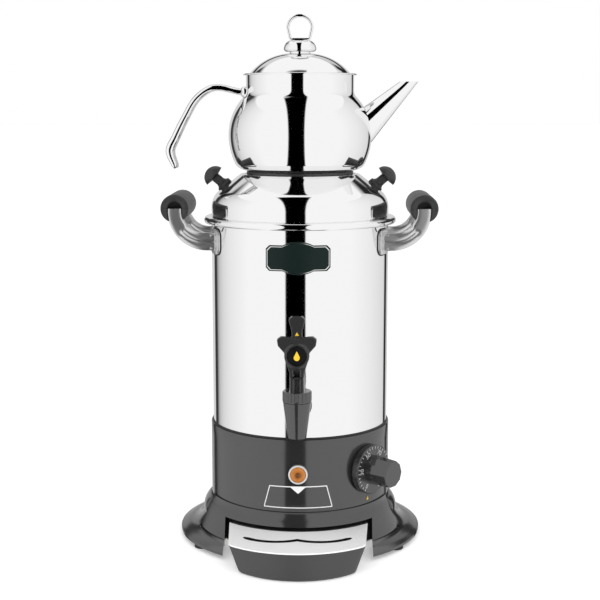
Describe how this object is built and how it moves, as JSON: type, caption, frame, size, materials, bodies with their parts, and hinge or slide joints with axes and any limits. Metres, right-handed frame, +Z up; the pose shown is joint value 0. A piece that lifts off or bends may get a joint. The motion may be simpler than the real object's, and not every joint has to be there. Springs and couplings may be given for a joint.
{
  "type": "tea boiler with teapot",
  "caption": "Electric two-tier tea boiler: a steel water tank on a black heater base, with a lever tap over a pull-out drip tray, side handles and a teapot on its lid.",
  "frame": {"origin": "on the ground under the middle of the box round the whole part; the tank's axis stands 20.25 mm behind it", "axes": "+Z up, -Y to the front where the tap and drip tray are, +X to the right as seen from the front"},
  "size_m": [0.3062, 0.3174, 0.5916],
  "materials": {
    "black_gloss": "moulded, glossy",
    "tap_black": "moulded, satin",
    "knob_black": "moulded, glossy",
    "stainless": "mirror polished",
    "polished_arm": "polished casting",
    "plated_steel": "zinc plated",
    "element_steel": "annealed",
    "nut_brass": "machined",
    "rubber": "moulded",
    "silicone": "soft, translucent grey",
    "white_plastic": "moulded",
    "amber_lens": "tinted, clear",
    "badge_metal": "dark enamel with a bright border",
    "medallion": "glossy inlay with a printed mark"
  },
  "bodies": {
    "boiler": {"base_flange": "black_gloss", "front_fascia": "black_gloss", "rubber_feet": "rubber", "bottom_plate": "plated_steel", "plate_screws": "plated_steel", "heater_housing": "black_gloss", "lamp_bezel": "polished_arm", "lamp_lens": "amber_lens", "lamp_holder": "white_plastic", "cable_gland": "knob_black", "thermostat_body": "plated_steel", "thermostat_screws": "plated_steel", "sensor_line": "nut_brass", "tank_shell": "stainless", "tank_floor": "stainless", "tank_studs": "plated_steel", "tank_nuts": "plated_steel", "heating_element": "element_steel", "element_seals": "silicone", "element_nuts": "nut_brass", "thermal_cutout": "plated_steel", "terminal_block": "white_plastic", "badge_plate": "badge_metal", "left_front_arm": "polished_arm", "left_rear_arm": "polished_arm", "right_front_arm": "polished_arm", "right_rear_arm": "polished_arm", "left_grip_upper": "knob_black", "left_grip_lower": "knob_black", "right_grip_upper": "knob_black", "right_grip_lower": "knob_black", "handle_screws": "plated_steel", "tap_body": "tap_black", "tap_gaskets": "silicone", "tap_lock_nut": "white_plastic", "tap_bonnet": "tap_black", "tap_spring": "plated_steel"},
    "tap_stem": {"tap_stem": "white_plastic", "tap_seal": "silicone"},
    "tap_lever": {"tap_lever": "tap_black", "lever_pin": "plated_steel", "tap_medallion": "medallion"},
    "thermostat_knob": {"dial_skirt": "knob_black", "knob_grip": "knob_black", "dial_spindle": "plated_steel"},
    "tank_lid": {"lid_dome": "stainless", "lid_knob_left": "knob_black", "lid_knob_right": "knob_black", "lid_knob_screws": "plated_steel"},
    "teapot": {"teapot_body": "stainless", "teapot_base": "stainless", "teapot_spout": "stainless", "teapot_handle": "stainless", "teapot_bracket": "stainless"},
    "teapot_lid": {"teapot_cap": "stainless", "cap_bell": "stainless", "cap_loop": "stainless", "cap_screw": "plated_steel"},
    "drip_tray": {"drip_tray": "black_gloss"},
    "drip_grate": {"drip_grate": "stainless"}
  },
  "joints": [
    {"name": "tap_stem_lift", "type": "slide", "parent": "boiler", "child": "tap_stem", "axis": [0, 0, 1], "range_m": [0, 0.0043], "stiffness_N_per_m": 150, "springref_m": -0.012, "deforming": ["tap_spring"]},
    {"name": "tap_lever_turn", "type": "hinge", "parent": "tap_stem", "child": "tap_lever", "pos_m": [0, -0.12475, 0.2355], "axis": [1, 0, 0], "range_deg": [0, 25]},
    {"name": "thermostat_turn", "type": "hinge", "parent": "boiler", "child": "thermostat_knob", "pos_m": [0.07669, -0.0476, 0.0926], "axis": [-0.749, 0.6626, 0], "range_deg": [0, 270]},
    {"name": "tank_lid_lift", "type": "slide", "parent": "boiler", "child": "tank_lid", "axis": [0, 0, 1], "range_m": [0, 0.12]},
    {"name": "teapot_lift", "type": "slide", "parent": "tank_lid", "child": "teapot", "axis": [0, 0, 1], "range_m": [0, 0.12]},
    {"name": "teapot_lid_lift", "type": "slide", "parent": "teapot", "child": "teapot_lid", "axis": [0, 0, 1], "range_m": [0, 0.08]},
    {"name": "drip_tray_slide", "type": "slide", "parent": "boiler", "child": "drip_tray", "axis": [0, -1, 0], "range_m": [0, 0.13]},
    {"name": "drip_grate_lift", "type": "slide", "parent": "drip_tray", "child": "drip_grate", "axis": [0, 0, 1], "range_m": [0, 0.03]}
  ],
  "couplings": [
    {"joint": "tap_lever_turn", "follows": "tap_stem_lift", "rad_per_m": 100}
  ]
}
